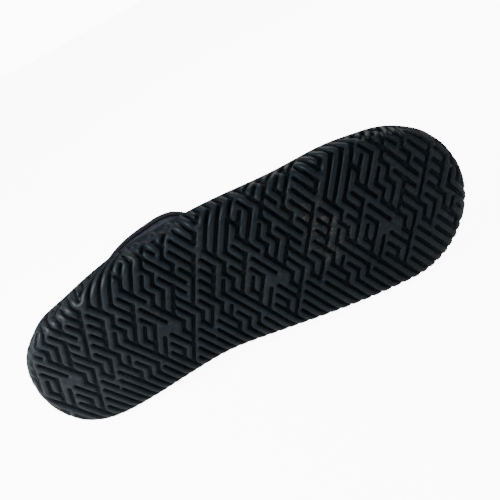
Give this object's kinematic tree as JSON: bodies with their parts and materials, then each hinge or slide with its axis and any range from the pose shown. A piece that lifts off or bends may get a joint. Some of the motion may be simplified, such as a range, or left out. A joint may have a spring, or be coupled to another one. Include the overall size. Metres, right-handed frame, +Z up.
{
  "type": "diving boot",
  "caption": "Right neoprene diving boot lying on its inner side, with a hollow upper, a bound collar, a cupped rubber outsole with a maze of tread bars and an insole.",
  "frame": {"origin": "centre of the boot's bounding box, on the floor it lies on", "axes": "+X from heel to toe, +Y from the sole to the collar, +Z up from the floor, towards the outer side of the foot"},
  "size_m": [0.3054, 0.131, 0.1078],
  "materials": {
    "outsole": "matt moulded rubber, near black",
    "upper": "knitted lining on neoprene foam, black",
    "insole": "cloth on foam, dark grey",
    "collar_binding": "folded woven tape, black"
  },
  "bodies": {
    "root": {"outsole": "outsole", "upper": "upper", "insole": "insole", "collar_binding": "collar_binding"}
  },
  "joints": []
}
